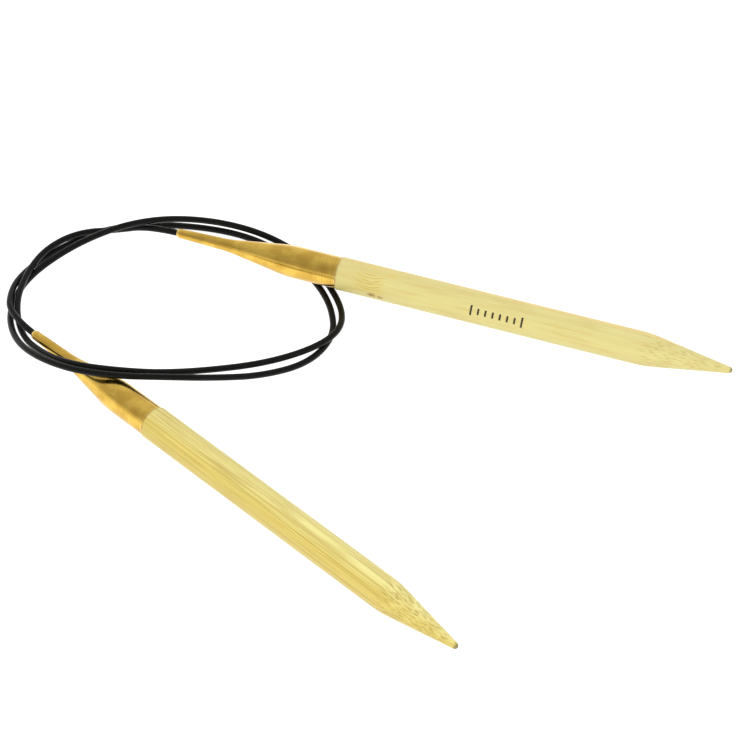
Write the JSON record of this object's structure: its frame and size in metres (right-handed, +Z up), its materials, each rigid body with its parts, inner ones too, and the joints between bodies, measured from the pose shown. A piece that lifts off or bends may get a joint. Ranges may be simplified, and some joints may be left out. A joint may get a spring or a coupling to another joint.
{
  "type": "circular knitting needle",
  "caption": "Circular knitting needle: two tapered bamboo tips in long brass ferrules, joined by one thin black tube cord that lies in a loose loop.",
  "frame": {"origin": "on the surface it lies on, below the middle of the box of the two needles", "axes": "+X to the right along the longer side of the box of the two needles, +Y away from the viewer, +Z up"},
  "size_m": [0.1701, 0.1391, 0.0096],
  "materials": {
    "bamboo": "polished natural bamboo, fine grain along the shaft",
    "brass": "bright polished brass",
    "cord": "smooth black nylon tube, slight sheen",
    "steel": "plain turned steel",
    "glue": "clear yellowish glue"
  },
  "bodies": {
    "cord": {"tube_cord": "cord", "left_swivel_pin": "steel", "right_swivel_pin": "steel"},
    "left_needle": {"left_needle_tip": "bamboo", "left_ferrule": "brass", "left_glue_film": "glue", "left_throat_plug": "brass"},
    "right_needle": {"right_needle_tip": "bamboo", "right_ferrule": "brass", "right_glue_film": "glue", "right_throat_plug": "brass"}
  },
  "joints": [
    {"name": "left_swivel", "type": "hinge", "parent": "cord", "child": "left_needle", "pos_m": [-0.0699, 0.02078, 0.004], "axis": [0.7096, -0.7046, 0], "continuous": true},
    {"name": "right_swivel", "type": "hinge", "parent": "cord", "child": "right_needle", "pos_m": [-0.03355, 0.05907, 0.00608], "axis": [0.947, -0.3205, -0.0201], "continuous": true}
  ]
}
